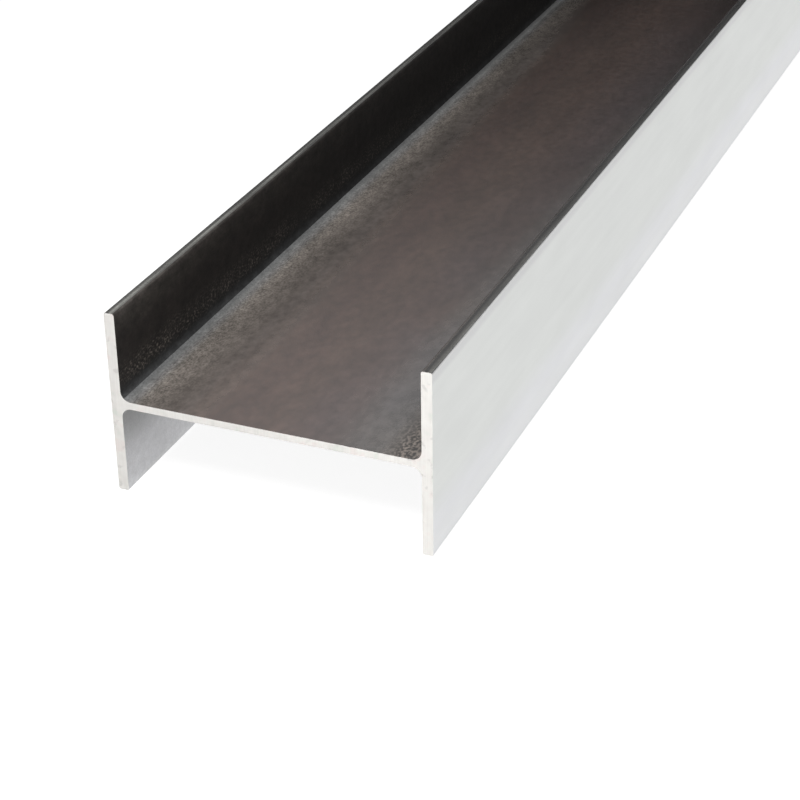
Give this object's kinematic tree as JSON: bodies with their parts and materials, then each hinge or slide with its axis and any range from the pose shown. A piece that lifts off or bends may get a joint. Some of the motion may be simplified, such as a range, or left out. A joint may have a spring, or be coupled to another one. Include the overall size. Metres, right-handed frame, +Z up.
{
  "type": "steel i-beam",
  "caption": "Hot-rolled steel I-beam with parallel flanges, filleted web roots and square sawn ends, lying on its flange toes; stock for framing and lintels.",
  "frame": {"origin": "on the ground under the middle of the beam, which lies on its flange toes", "axes": "+X across the depth of the section towards the flange that faces the viewer in the picture, +Y along the beam away from the end that the picture shows, +Z up, along the flange width"},
  "size_m": [0.2514, 6, 0.1461],
  "materials": {
    "rolled_steel": "hot-rolled mill scale with bright sawn ends"
  },
  "bodies": {
    "root": {"i_beam": "rolled_steel"}
  },
  "joints": []
}
